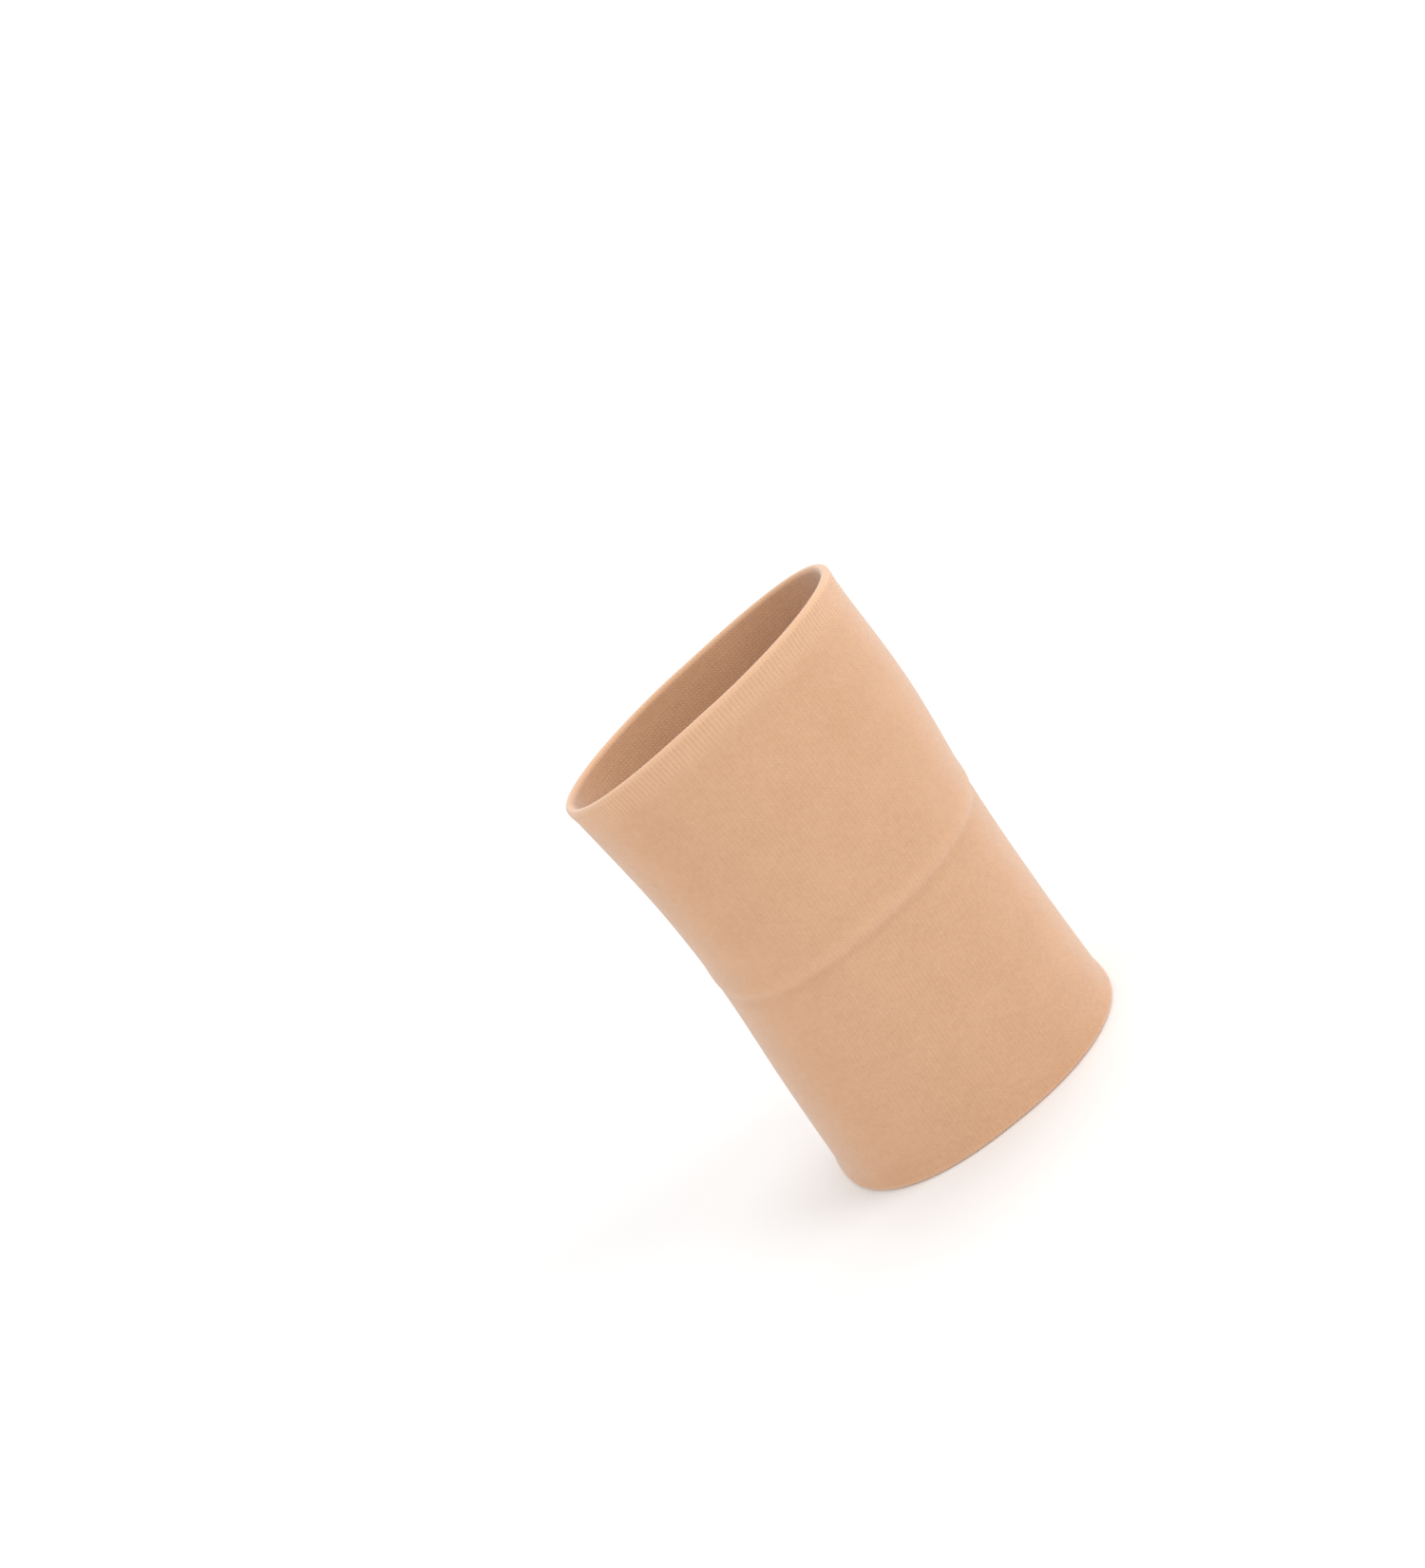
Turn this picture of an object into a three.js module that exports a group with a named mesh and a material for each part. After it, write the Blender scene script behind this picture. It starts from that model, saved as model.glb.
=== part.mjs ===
// Elastic knit wrist sleeve: a doubled fabric tube, folded over at both rims, whose two
// cut edges are overlocked to each other on the inside at mid-length.
//
// Millimetres. +Z runs from the forearm rim up to the hand rim, +X is the thumb side and
// -Y the palm side. The sleeve stands on its forearm rim, with the middle of its
// bounding box's bottom at the origin.
//
// Every layer is a closed ring round the wrist, given by a profile of [along, outward]
// points: "along" is the distance up the centreline from the forearm rim and "outward"
// the distance from the skin side. A profile goes up its inner side and down its outer.
import * as THREE from 'three';
import { LoftGeometry } from 'three/addons/geometries/LoftGeometry.js';

// Sleeve: length, and the two fabric layers with the slip gap between them
const SLEEVE_LENGTH = 87.4;
const LINING_THICKNESS = 0.62;
const LAYER_GAP = 0.16;
const OUTER_THICKNESS = 0.62;
const OUTER_INSIDE = LINING_THICKNESS + LAYER_GAP;
const OUTER_OUTSIDE = OUTER_INSIDE + OUTER_THICKNESS;

// Skin-side oval at five evenly spaced heights: half width, half depth, shift to +X
const OVALS = [
  [26.4, 20.4, 0.2],
  [25.9, 19.9, 1.25],
  [25.6, 19.8, 2.85],
  [26.7, 20.3, 4.25],
  [27.7, 21.0, 3.85],
];
const OVAL_SQUARENESS = 2.3;
const CURVE_TENSION = 0.5;
const SEGMENTS_ROUND = 44;

// Wrist: the centreline leans back towards +Y by this angle over the flex zone
const FLEX_START = 50;
const FLEX_END = 78;
const LEAN = THREE.MathUtils.degToRad(15);
const LEAN_RADIUS = (FLEX_END - FLEX_START) / LEAN;

// The hand rim is cut higher on the thumb side, by this much either way
const HAND_RIM_SLANT = 2.5;

// Heights of the rings of points up the tubes, and the least spacing from a tube's end
const STATIONS = [11, 22, 33, 44.6, 46.6, 48.6, 50, 54.7, 59.3, 64, 68.7, 73.3];
const LEAST_SPACING = 1.3;

// Height of the inside join seam, and the outside ridge that it pushes up
const SEAM_AT = 46.6;
const RIDGE_HALF_WIDTH = 2;
const RIDGE_HEIGHT = 0.45;

// Folded rims
const FOREARM_FOLD_TOP = 3.2;
const HAND_FOLD_BOTTOM = SLEEVE_LENGTH - 3.2;
const FOREARM_FOLD_INNER = [[0, 0.45], [0.3, 0.1], [1.2, -0.05]];
const FOREARM_FOLD_OUTER = [[1.6, 1.7], [0.6, 1.65], [0, 1.15]];
const HAND_FOLD_INNER = [
  [SLEEVE_LENGTH - 1, -0.05],
  [SLEEVE_LENGTH - 0.25, 0.25],
  [SLEEVE_LENGTH, 0.7],
];
const HAND_FOLD_OUTER = [
  [SLEEVE_LENGTH - 0.2, 1.25],
  [SLEEVE_LENGTH - 0.9, 1.55],
  [SLEEVE_LENGTH - 1.8, 1.6],
];

// Where one panel meets the next
const PANEL_GAP = 0.05;

// Inside join seam: the cut edges turn to the skin side and lie down to the forearm
const LINING_FOREARM_END = SEAM_AT - 0.3;
const LINING_WRIST_START = SEAM_AT + 1;
const LIP_EDGE = SEAM_AT - 3.3;
const LIP_THICKNESS = 0.5;
const LIP_FOREARM_OUTSIDE = -0.12;
const LIP_HAND_OUTSIDE = -0.74;
const LIP_HAND_FOLD = SEAM_AT + 0.9;
const LIP_HAND_ROOT = 0.5;
const NEEDLE_OUTWARD = 0.2;
const NEEDLE_RADIUS = 0.2;
const NEEDLE_SIDES = 6;
const LOOPER_THICKNESS = 0.25;
const LOOPER_EDGE = SEAM_AT - 3.75;
const LOOPER_END = SEAM_AT - 1;
const LOOPER_OUTSIDE = -1.36;

const OVAL_CURVE = new THREE.CatmullRomCurve3(
  OVALS.map((oval) => new THREE.Vector3(...oval)),
  false,
  'catmullrom',
  CURVE_TENSION,
);

function outerFabric() {
  return new THREE.MeshStandardMaterial({
    name: 'outer_knit',
    color: 0xdbb08e,
    roughness: 0.9,
    metalness: 0,
  });
}

function liningFabric() {
  return new THREE.MeshStandardMaterial({
    name: 'lining_knit',
    color: 0xd0a380,
    roughness: 0.92,
    metalness: 0,
  });
}

function sewingThread() {
  return new THREE.MeshStandardMaterial({
    name: 'sewing_thread',
    color: 0xe6c8ad,
    roughness: 0.8,
    metalness: 0,
  });
}

// A point of the centreline: straight, then an arc over the flex zone, then straight
function centrelinePoint(along) {
  const lean = THREE.MathUtils.clamp((along - FLEX_START) / LEAN_RADIUS, 0, LEAN);
  const before = Math.min(along, FLEX_START);
  const beyond = Math.max(along - FLEX_END, 0);
  const y = LEAN_RADIUS * (1 - Math.cos(lean)) + beyond * Math.sin(lean);
  const z = before + LEAN_RADIUS * Math.sin(lean) + beyond * Math.cos(lean);
  return { y, z, lean };
}

// Signed power that turns an ellipse into a slightly squarer oval
function squared(value) {
  return Math.sign(value) * Math.abs(value) ** (2 / OVAL_SQUARENESS);
}

// A point of the sleeve at an angle round the wrist, counted from +X towards +Y
function sleevePoint(angle, along, outward) {
  const oval = OVAL_CURVE.getPoint(along / SLEEVE_LENGTH);
  const slant = HAND_RIM_SLANT * THREE.MathUtils.smoothstep(along, 0, SLEEVE_LENGTH);
  const { y, z, lean } = centrelinePoint(along + slant * Math.cos(angle));
  const side = (oval.x + outward) * squared(Math.cos(angle));
  const back = (oval.y + outward) * squared(Math.sin(angle));
  return new THREE.Vector3(
    oval.z + side,
    y + back * Math.cos(lean),
    z - back * Math.sin(lean),
  );
}

// A closed ring: the profile repeated round the wrist and skinned
function ring(name, material, profile) {
  const sections = [];
  for (let step = 0; step <= SEGMENTS_ROUND; step += 1) {
    const angle = (2 * Math.PI * (step % SEGMENTS_ROUND)) / SEGMENTS_ROUND;
    sections.push(profile.map(([along, outward]) => sleevePoint(angle, along, outward)));
  }
  const mesh = new THREE.Mesh(new LoftGeometry(sections), material);
  mesh.name = name;
  return mesh;
}

// Heights of a tube's rings of points, from its start to its end
function heightsBetween(start, end) {
  const inside = STATIONS.filter(
    (along) => along > start + LEAST_SPACING && along < end - LEAST_SPACING,
  );
  return [start, ...inside, end];
}

function outsideAt(along) {
  const fade = Math.max(1 - Math.abs(along - SEAM_AT) / RIDGE_HALF_WIDTH, 0);
  return OUTER_OUTSIDE + RIDGE_HEIGHT * fade;
}

function outerTube(name, start, end) {
  const heights = heightsBetween(start, end);
  const inner = heights.map((along) => [along, OUTER_INSIDE]);
  const outer = heights.map((along) => [along, outsideAt(along)]).reverse();
  return ring(name, outerFabric(), [...inner, ...outer]);
}

function liningTube(name, start, end) {
  const heights = heightsBetween(start, end);
  const inner = heights.map((along) => [along, 0]);
  const outer = heights.map((along) => [along, LINING_THICKNESS]).reverse();
  return ring(name, liningFabric(), [...inner, ...outer]);
}

function forearmFold() {
  const top = [[FOREARM_FOLD_TOP, 0], [FOREARM_FOLD_TOP, OUTER_OUTSIDE]];
  return ring('forearm_fold', outerFabric(), [
    ...FOREARM_FOLD_INNER,
    ...top,
    ...FOREARM_FOLD_OUTER,
  ]);
}

function handFold() {
  return ring('hand_fold', outerFabric(), [
    [HAND_FOLD_BOTTOM, 0],
    ...HAND_FOLD_INNER,
    ...HAND_FOLD_OUTER,
    [HAND_FOLD_BOTTOM, OUTER_OUTSIDE],
  ]);
}

// The lining's forearm half, turned back flat against itself
function forearmLip() {
  const inside = LIP_FOREARM_OUTSIDE - LIP_THICKNESS;
  return ring('join_lip_forearm', liningFabric(), [
    [LIP_EDGE, inside],
    [LINING_FOREARM_END, inside],
    [LINING_FOREARM_END, LIP_FOREARM_OUTSIDE],
    [LIP_EDGE, LIP_FOREARM_OUTSIDE],
  ]);
}

// The lining's hand half, turned over the needle thread and down on the forearm lip
function handLip() {
  const inside = LIP_HAND_OUTSIDE - LIP_THICKNESS;
  return ring('join_lip_hand', liningFabric(), [
    [LIP_EDGE, inside],
    [LIP_HAND_FOLD - LIP_THICKNESS, inside],
    [LIP_HAND_FOLD, LIP_HAND_OUTSIDE],
    [LIP_HAND_FOLD, LIP_HAND_ROOT],
    [LIP_HAND_FOLD - LIP_THICKNESS, LIP_HAND_ROOT],
    [LIP_HAND_FOLD - LIP_THICKNESS, LIP_HAND_OUTSIDE],
    [LIP_EDGE, LIP_HAND_OUTSIDE],
  ]);
}

// The overlock's needle thread, in the ditch of the seam
function needleThread() {
  const profile = [];
  for (let side = 0; side < NEEDLE_SIDES; side += 1) {
    const turn = (2 * Math.PI * side) / NEEDLE_SIDES;
    const along = SEAM_AT - NEEDLE_RADIUS * Math.cos(turn);
    const outward = NEEDLE_OUTWARD - NEEDLE_RADIUS * Math.sin(turn);
    profile.push([along, outward]);
  }
  return ring('join_needle_thread', sewingThread(), profile);
}

// The overlock's looper threads: a band over the lips, wrapped round their cut edges
function looperThread() {
  const inside = LOOPER_OUTSIDE - LOOPER_THICKNESS;
  return ring('join_looper_thread', sewingThread(), [
    [LOOPER_EDGE, inside],
    [LOOPER_END, inside],
    [LOOPER_END, LOOPER_OUTSIDE],
    [LOOPER_EDGE + LOOPER_THICKNESS, LOOPER_OUTSIDE],
    [LOOPER_EDGE + LOOPER_THICKNESS, LIP_FOREARM_OUTSIDE],
    [LOOPER_EDGE, LIP_FOREARM_OUTSIDE],
  ]);
}

const group = new THREE.Group();
group.name = 'wrist_splint';
group.add(
  forearmFold(),
  outerTube('outer_tube_forearm', FOREARM_FOLD_TOP + PANEL_GAP, FLEX_START - PANEL_GAP),
  outerTube('outer_tube_wrist', FLEX_START, FLEX_END),
  outerTube('outer_tube_hand', FLEX_END + PANEL_GAP, HAND_FOLD_BOTTOM - PANEL_GAP),
  handFold(),
  liningTube('lining_forearm', FOREARM_FOLD_TOP + PANEL_GAP, LINING_FOREARM_END),
  liningTube('lining_wrist', LINING_WRIST_START, FLEX_END),
  liningTube('lining_hand', FLEX_END + PANEL_GAP, HAND_FOLD_BOTTOM - PANEL_GAP),
  forearmLip(),
  handLip(),
  needleThread(),
  looperThread(),
);

// Bounding box's bottom centre to the origin
const bounds = new THREE.Box3().setFromObject(group);
const middle = bounds.getCenter(new THREE.Vector3());
group.position.set(-middle.x, -middle.y, -bounds.min.z);

export default group;
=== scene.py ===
"""Elastic knit wrist sleeve: one knitted tube, doubled over at both rims.

The two cut ends of the tube meet inside at mid-length, where an overlock seam joins them.
Every piece of cloth is a closed ring round the wrist: a strip's centreline, drawn in the
plane of (distance along the sleeve, distance outward from the skin side), is given its
thickness and carried round the sleeve's oval. Everything is in metres.
"""

import logging
import math
from collections.abc import Sequence
from dataclasses import dataclass, field
from enum import Enum

import bpy
import numpy as np
from mathutils import Matrix, Vector


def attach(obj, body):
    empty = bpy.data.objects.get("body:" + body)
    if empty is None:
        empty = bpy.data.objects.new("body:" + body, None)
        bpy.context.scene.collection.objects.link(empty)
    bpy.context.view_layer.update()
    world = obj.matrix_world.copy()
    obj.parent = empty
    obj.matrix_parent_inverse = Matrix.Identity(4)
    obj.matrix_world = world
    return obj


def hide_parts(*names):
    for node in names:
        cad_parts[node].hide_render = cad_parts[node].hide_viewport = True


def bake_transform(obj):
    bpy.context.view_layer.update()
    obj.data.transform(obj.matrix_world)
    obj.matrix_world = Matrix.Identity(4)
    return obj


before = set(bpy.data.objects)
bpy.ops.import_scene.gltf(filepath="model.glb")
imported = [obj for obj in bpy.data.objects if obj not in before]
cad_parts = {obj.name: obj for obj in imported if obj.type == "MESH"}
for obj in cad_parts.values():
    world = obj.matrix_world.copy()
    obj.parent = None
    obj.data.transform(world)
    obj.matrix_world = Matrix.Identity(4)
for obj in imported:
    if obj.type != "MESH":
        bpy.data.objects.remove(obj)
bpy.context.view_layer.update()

LOG = logging.getLogger("wrist_sleeve")
MM = 0.001
FOREARM_BODY = "forearm_part"
HAND_BODY = "hand_part"
STITCH_MAP = "stitches"
CREST_MASK = "crest"

Colour = tuple[float, float, float]


def smoothstep(low: float, high: float, value: np.ndarray) -> np.ndarray:
    """Ramp from 0 to 1 with flat ends: 3 t squared minus 2 t cubed.

    Args:
        low: Value at which the ramp leaves 0.
        high: Value at which the ramp reaches 1.
        value: Where to read the ramp.

    Returns:
        The ramp at each value.
    """
    share = np.clip((np.asarray(value, float) - low) / (high - low), 0, 1)
    return share * share * (3 - 2 * share)


def bell(middle: float, width: float | np.ndarray, value: np.ndarray) -> np.ndarray:
    """Bell curve of height 1: exp of minus half the squared distance in widths."""
    return np.exp(-0.5 * ((np.asarray(value, float) - middle) / width) ** 2)


def level_path(along: np.ndarray, outward: float) -> np.ndarray:
    """Path of (along, outward) points at one distance from the skin side."""
    return np.stack([along, np.full(len(along), outward)], -1)


def put_in_scene(name: str, data: bpy.types.ID) -> bpy.types.Object:
    """Makes an object of some data and links it to the scene.

    Args:
        name: The object's name.
        data: Its mesh, light or camera.

    Returns:
        The object, at the origin.
    """
    thing = bpy.data.objects.new(name, data)
    bpy.context.scene.collection.objects.link(thing)
    return thing


@dataclass(frozen=True)
class SleeveForm:
    """The form that the sleeve keeps from the wrist that wears it.

    A place is given by the share of the way round (0 at the thumb side, a quarter at the
    back of the wrist), the distance along the centreline from the forearm rim, and the
    distance outward from the skin side.

    Attributes:
        length: Distance along the centreline from rim to rim.
        half_widths: Skin-side half widths at even heights, in millimetres.
        half_depths: Skin-side half depths at the same heights, in millimetres.
        shifts: Shift of the oval to the thumb side there, in millimetres.
        squareness: Exponent of the oval, 2 for an ellipse.
        flex_start: Where the centreline starts to lean back.
        flex_end: Where it stops.
        lean: How far it has leant back by then, in radians.
        slant: How much higher the hand rim is on the thumb side, either way.
        origin: The model's origin on the forearm rim's own X and Y.
        wave_height: Height of the slow waves in the stretched cloth.
        forearm_calm: Distances from the forearm rim between which the waves grow.
        hand_calm: Distances from the hand rim between which they grow.
        edge_chords: Chords that the oval's edge is measured with.
    """

    length: float = 87.4 * MM
    half_widths: tuple[float, ...] = (26.4, 25.9, 25.6, 26.7, 27.7)
    half_depths: tuple[float, ...] = (20.4, 19.9, 19.8, 20.3, 21.0)
    shifts: tuple[float, ...] = (0.2, 1.25, 2.85, 4.25, 3.85)
    squareness: float = 2.3
    flex_start: float = 50 * MM
    flex_end: float = 78 * MM
    lean: float = math.radians(15)
    slant: float = 2.5 * MM
    origin: tuple[float, float] = (2.649 * MM, 2.768 * MM)
    wave_height: float = 0.05 * MM
    forearm_calm: tuple[float, float] = (2 * MM, 9 * MM)
    hand_calm: tuple[float, float] = (2 * MM, 8 * MM)
    edge_chords: int = 4800

    def _spline(self, values: Sequence[float], along: np.ndarray) -> np.ndarray:
        """Catmull-Rom curve through even stations, straight on past its two ends.

        Between two stations it is the cubic that has their values, and half the
        difference of each one's neighbours as its slope there.

        Args:
            values: The values at the stations, in millimetres.
            along: Distances along the sleeve.

        Returns:
            The curve's values in metres.
        """
        knots = np.asarray(values, float) * MM
        ends = 2 * knots[0] - knots[1], 2 * knots[-1] - knots[-2]
        padded = np.concatenate(([ends[0]], knots, [ends[1]]))
        place = np.clip(along / self.length, 0, 1) * (len(knots) - 1)
        first = np.minimum(place.astype(int), len(knots) - 2)
        w = place - first
        p0, p1, p2, p3 = (padded[first + step] for step in range(4))
        rise, fall = (p2 - p0) / 2, (p3 - p1) / 2
        return (
            (2 * w**3 - 3 * w**2 + 1) * p1
            + (w**3 - 2 * w**2 + w) * rise
            + (3 * w**2 - 2 * w**3) * p2
            + (w**3 - w**2) * fall
        )

    def _power(self, value: np.ndarray) -> np.ndarray:
        """Signed power 2 / squareness, which turns an ellipse into the oval."""
        return np.sign(value) * np.abs(value) ** (2 / self.squareness)

    def angle(self, share: np.ndarray) -> np.ndarray:
        """Angle of the oval at a share of the way round its edge.

        The mid-length oval is measured with many short chords, and the angle is read
        where the chords' running length is that share of the whole.

        Args:
            share: Shares of the way round, 0 to 1.

        Returns:
            Angles in radians, counted from the thumb side towards the back.
        """
        turn = np.linspace(0, 2 * np.pi, self.edge_chords + 1)
        middle = len(self.half_widths) // 2
        x = self.half_widths[middle] * self._power(np.cos(turn))
        y = self.half_depths[middle] * self._power(np.sin(turn))
        chords = np.hypot(np.diff(x), np.diff(y))
        run = np.concatenate(([0.0], np.cumsum(chords)))
        return np.interp(share, run / run[-1], turn)

    def centreline(self, along: np.ndarray) -> tuple[np.ndarray, np.ndarray, np.ndarray]:
        """Centreline: straight up, an arc over the flex stretch, then straight on.

        Args:
            along: Distances along the sleeve.

        Returns:
            The Y and Z of each point and how far the line leans there, in radians.
        """
        radius = (self.flex_end - self.flex_start) / self.lean
        lean = np.clip((along - self.flex_start) / radius, 0, self.lean)
        beyond = np.maximum(along - self.flex_end, 0)
        y = radius * (1 - np.cos(lean)) + beyond * np.sin(lean)
        z = np.minimum(along, self.flex_start) + radius * np.sin(lean) + beyond * np.cos(lean)
        return y, z, lean

    def wave(self, share: np.ndarray, along: np.ndarray) -> np.ndarray:
        """Slow waves of the stretched cloth: rows of lobes and two sets of slanting sines.

        Args:
            share: Shares of the way round.
            along: Distances along the sleeve.

        Returns:
            The waves' height, which fades out at both rims.
        """
        turn = 2 * np.pi * share
        lobes = np.sin(5 * turn + 0.7) * np.sin(along / (7.5 * MM))
        left_slants = np.sin(9 * turn + 2.1 + along / (9 * MM))
        right_slants = np.sin(3 * turn - along / (5.5 * MM))
        above_forearm_rim = smoothstep(*self.forearm_calm, along)
        below_hand_rim = smoothstep(*self.hand_calm, self.length - along)
        height = 0.45 * lobes + 0.35 * left_slants + 0.35 * right_slants
        return self.wave_height * height * above_forearm_rim * below_hand_rim

    def place(self, share: np.ndarray, along: np.ndarray, outward: np.ndarray) -> np.ndarray:
        """Point of the sleeve.

        The oval of that height, grown by the outward distance and the waves, is set
        square to the leaning centreline.

        Args:
            share: Shares of the way round.
            along: Distances along the centreline from the forearm rim.
            outward: Distances outward from the skin side.

        Returns:
            Points in metres, in the model's frame, with X, Y and Z on the last axis.
        """
        share, along, outward = np.broadcast_arrays(share, along, outward)
        angle = self.angle(share)
        outward = outward + self.wave(share, along)
        slant = self.slant * smoothstep(0, self.length, along)
        y, z, lean = self.centreline(along + slant * np.cos(angle))
        side = (self._spline(self.half_widths, along) + outward) * self._power(np.cos(angle))
        back = (self._spline(self.half_depths, along) + outward) * self._power(np.sin(angle))
        x = self._spline(self.shifts, along) + side - self.origin[0]
        y = y + back * np.cos(lean) - self.origin[1]
        return np.stack([x, y, z - back * np.sin(lean)], axis=-1)

    def centre(self, along: float) -> Vector:
        """Point of the centreline's plane of symmetry."""
        y, z, _ = self.centreline(np.asarray(along, float))
        return Vector((0.0, float(y) - self.origin[1], float(z)))


@dataclass(frozen=True)
class KnitGauge:
    """The knitting's gauge.

    Attributes:
        wales: Columns of loops round the sleeve.
        course: Height of one row of loops.
        samples: Points round the sleeve for each wale, on the outside.
        plain_depth: Depth of the grooves between wales on the flat cloth.
        rim_depth: The same, where the cloth is strained over the hand rim.
        rim_reach: How far below the hand rim's fold the strain reaches.
        stroke: Half the crest mask's height on a strained wale.
    """

    wales: int = 208
    course: float = 0.56 * MM
    samples: int = 4
    plain_depth: float = 0.012 * MM
    rim_depth: float = 0.065 * MM
    rim_reach: float = 3.5 * MM
    stroke: float = 0.6

    def round_shares(self, samples: int) -> np.ndarray:
        """Even shares of the way round, with that many points for each wale."""
        return np.arange(self.wales * samples) / (self.wales * samples)

    def ribs(self, share: np.ndarray) -> np.ndarray:
        """Wales as a cosine round the sleeve: 1 on a wale and -1 in a groove."""
        return np.cos(2 * np.pi * self.wales * share)

    def strokes(self, share: np.ndarray) -> np.ndarray:
        """Crest mask of strained wales, as a cosine: highest on a wale, 0 in a groove."""
        return self.stroke * (1 + self.ribs(share))


@dataclass
class Ring:
    """A closed surface on a grid: round the wrist, and round its own section.

    Attributes:
        points: Places in metres, shaped (round, section, 3).
        stitches: Wale and course numbers at the grid's corners, shaped
            (round + 1, section + 1, 2).
        crest: How proud and rubbed the surface is, up to 1, or below 0 how deep in a
        ditch it lies, which sets the shade painted there, shaped (round, section).
        creases: Section points at which the surface has a sharp edge.
    """

    points: np.ndarray
    stitches: np.ndarray
    crest: np.ndarray
    creases: tuple[int, ...] = ()

    def _corners(self) -> np.ndarray:
        """Grid numbers of each quad's four corners.

        Returns:
            Pairs of (round, section) numbers, shaped (round, section, 4, 2).
        """
        turns, rows = self.points.shape[:2]
        turn, row = np.meshgrid(np.arange(turns), np.arange(rows), indexing="ij")
        near_far = [(0, 0), (0, 1), (1, 1), (1, 0)]
        return np.stack([np.stack([turn + t, row + r], -1) for t, r in near_far], 2)

    def _crease_edges(self, mesh: bpy.types.Mesh) -> None:
        """Marks the edges that run round the wrist along a crease as sharp.

        Args:
            mesh: The ring's mesh.
        """
        rows = self.points.shape[1]
        ends = np.empty(len(mesh.edges) * 2, np.int32)
        mesh.edges.foreach_get("vertices", ends)
        first, second = (ends.reshape(-1, 2) % rows).T
        sharp = (first == second) & np.isin(first, self.creases)
        layer = mesh.attributes.new("sharp_edge", "BOOLEAN", "EDGE")
        layer.data.foreach_set("value", sharp)

    def build(self, name: str) -> bpy.types.Object:
        """Makes the mesh, its stitch map and its crest mask.

        Args:
            name: The piece's name.

        Returns:
            The new object, at the origin.
        """
        turns, rows = self.points.shape[:2]
        corners = self._corners()
        numbers = (corners[..., 0] % turns) * rows + corners[..., 1] % rows
        mesh = bpy.data.meshes.new(name)
        mesh.from_pydata(self.points.reshape(-1, 3), [], numbers.reshape(-1, 4).tolist())
        mesh.update(calc_edges=True)
        mesh.polygons.foreach_set("use_smooth", np.ones(len(mesh.polygons), bool))
        if self.creases:
            self._crease_edges(mesh)
        stitches = self.stitches[corners[..., 0], corners[..., 1]]
        layer = mesh.uv_layers.new(name=STITCH_MAP)
        layer.uv.foreach_set("vector", stitches.astype(np.float32).ravel())
        mask = mesh.attributes.new(CREST_MASK, "FLOAT", "POINT")
        mask.data.foreach_set("value", self.crest.astype(np.float32).ravel())
        return put_in_scene(name, mesh)


@dataclass
class Face:
    """One face of a strip of cloth.

    Attributes:
        path: The strip's centreline as (along, outward) points, shaped (points, 2).
        lift: Relief on top of the half thickness, shaped (round, points) or a number.
        crest: How proud and rubbed the face is, below 0 where shade is painted, shaped like lift.
    """

    path: np.ndarray
    lift: np.ndarray | float = 0.0
    crest: np.ndarray | float = 0.0

    def run(self) -> np.ndarray:
        """Running length along the path."""
        steps = np.hypot(*np.diff(self.path, axis=0).T)
        return np.concatenate(([0.0], np.cumsum(steps)))

    def normals(self) -> np.ndarray:
        """Unit normals on the left of the path.

        Returns:
            The normals, which point outward where the path runs up the sleeve.
        """
        slope = np.gradient(self.path, self.run(), axis=0)
        normal = np.stack([-slope[:, 1], slope[:, 0]], -1)
        return normal / np.linalg.norm(normal, axis=1, keepdims=True)


@dataclass(frozen=True)
class ClothCutter:
    """Turns strips of cloth into rings on the sleeve's form.

    Attributes:
        form: The form that the cloth lies on.
        gauge: The knitting's gauge.
    """

    form: SleeveForm
    gauge: KnitGauge

    def strip(
        self,
        left: Face,
        right: Face,
        thickness: float,
        samples: int,
        first_course: float = 0.0,
    ) -> Ring:
        """Ring of cloth with its two faces either side of a path.

        The section runs back along the left face, half the thickness to the left of the
        path, and forward along the right one, half the thickness to its right.

        Args:
            left: The face on the left of the path.
            right: The face on its right, whose path follows the same line.
            thickness: Thickness of the cloth.
            samples: Points round the sleeve for each wale.
            first_course: Course number at the path's start.

        Returns:
            The ring, with a sharp edge at each of the strip's four corners.
        """
        share = self.gauge.round_shares(samples)
        sides = []
        for face, sign in ((left, 1), (right, -1)):
            lift = np.broadcast_to(face.lift, (len(share), len(face.path)))
            crest = np.broadcast_to(face.crest, lift.shape)
            reach = sign * (thickness / 2 + lift)[..., None]
            course = first_course + face.run() / self.gauge.course
            sides.append((face.path + reach * face.normals(), course, crest))
        (front, front_course, front_crest), (back, back_course, back_crest) = sides
        section = np.concatenate([front[:, ::-1], back], axis=1)
        crest = np.concatenate([front_crest[:, ::-1], back_crest], axis=1)
        courses = np.concatenate([front_course[::-1], back_course, front_course[-1:]])
        wales = np.arange(len(share) + 1) / samples
        stitches = np.stack(np.meshgrid(wales, courses, indexing="ij"), -1)
        points = self.form.place(share[:, None], section[..., 0], section[..., 1])
        last = section.shape[1] - 1
        turn = len(left.path) - 1
        return Ring(points, stitches, crest, (0, turn, turn + 1, last))


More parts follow.
